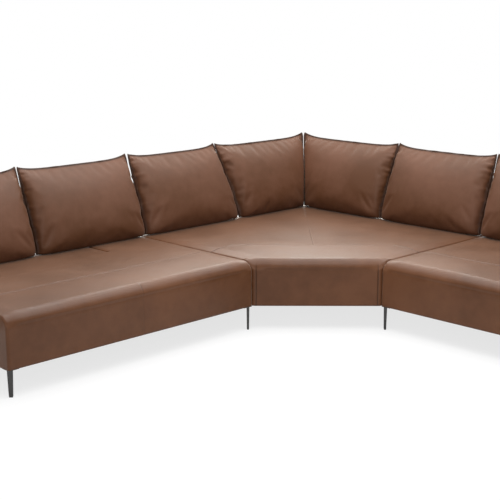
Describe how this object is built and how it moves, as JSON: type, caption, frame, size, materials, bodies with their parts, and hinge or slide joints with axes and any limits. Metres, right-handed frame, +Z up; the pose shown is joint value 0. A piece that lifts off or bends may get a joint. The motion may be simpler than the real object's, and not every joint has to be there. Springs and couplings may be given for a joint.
{
  "type": "corner sofa",
  "caption": "Armless corner sofa in leather: a seat module each side of an angled corner module, free-standing crowned back cushions, slim tapered legs.",
  "frame": {"origin": "centre of the bounding box in plan, on the floor", "axes": "+Z up; the right wing runs along +X with its back at +Y, the left wing runs along -Y with its back at -X; the sofa faces the +X, -Y quarter"},
  "size_m": [3.4266, 3.4266, 0.9326],
  "materials": {
    "seat_leather": "satin",
    "cushion_leather": "satin",
    "foam": "matte",
    "webbing": "matte",
    "dust_cloth": "matte",
    "timber": "matte",
    "plywood": "matte",
    "glide_plastic": "matte",
    "leg_paint": "satin",
    "steel": "satin"
  },
  "bodies": {
    "seat_base": {"arm_bolts": "steel", "arm_corner_left_inner": "steel", "arm_corner_left_outer": "steel", "arm_corner_right_inner": "steel", "arm_corner_right_outer": "steel", "board_corner_left_inner": "plywood", "board_corner_left_outer": "plywood", "board_corner_right_inner": "plywood", "board_corner_right_outer": "plywood", "corner_dust_cloth": "dust_cloth", "corner_frame": "timber", "corner_seat_cover": "seat_leather", "corner_seat_foam": "foam", "corner_webbing": "webbing", "cushion_corner_left_inner": "cushion_leather", "cushion_corner_left_outer": "cushion_leather", "cushion_corner_right_inner": "cushion_leather", "cushion_corner_right_outer": "cushion_leather", "left_dust_cloth": "dust_cloth", "left_frame": "timber", "left_joining_plates": "steel", "left_seat_cover": "seat_leather", "left_seat_foam": "foam", "left_webbing": "webbing", "leg_corner_apex": "leg_paint", "leg_corner_left": "leg_paint", "leg_corner_right": "leg_paint", "leg_glides": "glide_plastic", "leg_left_front_inner": "leg_paint", "leg_left_front_outer": "leg_paint", "leg_left_rear_inner": "leg_paint", "leg_left_rear_outer": "leg_paint", "leg_right_front_inner": "leg_paint", "leg_right_front_outer": "leg_paint", "leg_right_rear_inner": "leg_paint", "leg_right_rear_outer": "leg_paint", "mounting_screws": "steel", "right_dust_cloth": "dust_cloth", "right_frame": "timber", "right_joining_plates": "steel", "right_seat_cover": "seat_leather", "right_seat_foam": "foam", "right_webbing": "webbing", "runners_left_end": "steel", "runners_left_inner": "steel", "runners_right_end": "steel", "runners_right_inner": "steel"},
    "back_left_end": {"board_left_end": "plywood", "carriage_left_end": "steel", "cushion_left_end": "cushion_leather"},
    "back_left_inner": {"board_left_inner": "plywood", "carriage_left_inner": "steel", "cushion_left_inner": "cushion_leather"},
    "back_right_end": {"board_right_end": "plywood", "carriage_right_end": "steel", "cushion_right_end": "cushion_leather"},
    "back_right_inner": {"board_right_inner": "plywood", "carriage_right_inner": "steel", "cushion_right_inner": "cushion_leather"}
  },
  "joints": [
    {"name": "slide_left_inner", "type": "slide", "parent": "seat_base", "child": "back_left_inner", "axis": [1, 0, 0], "range_m": [0, 0.2]},
    {"name": "slide_left_end", "type": "slide", "parent": "seat_base", "child": "back_left_end", "axis": [1, 0, 0], "range_m": [0, 0.2]},
    {"name": "slide_right_inner", "type": "slide", "parent": "seat_base", "child": "back_right_inner", "axis": [0, -1, 0], "range_m": [0, 0.2]},
    {"name": "slide_right_end", "type": "slide", "parent": "seat_base", "child": "back_right_end", "axis": [0, -1, 0], "range_m": [0, 0.2]}
  ]
}
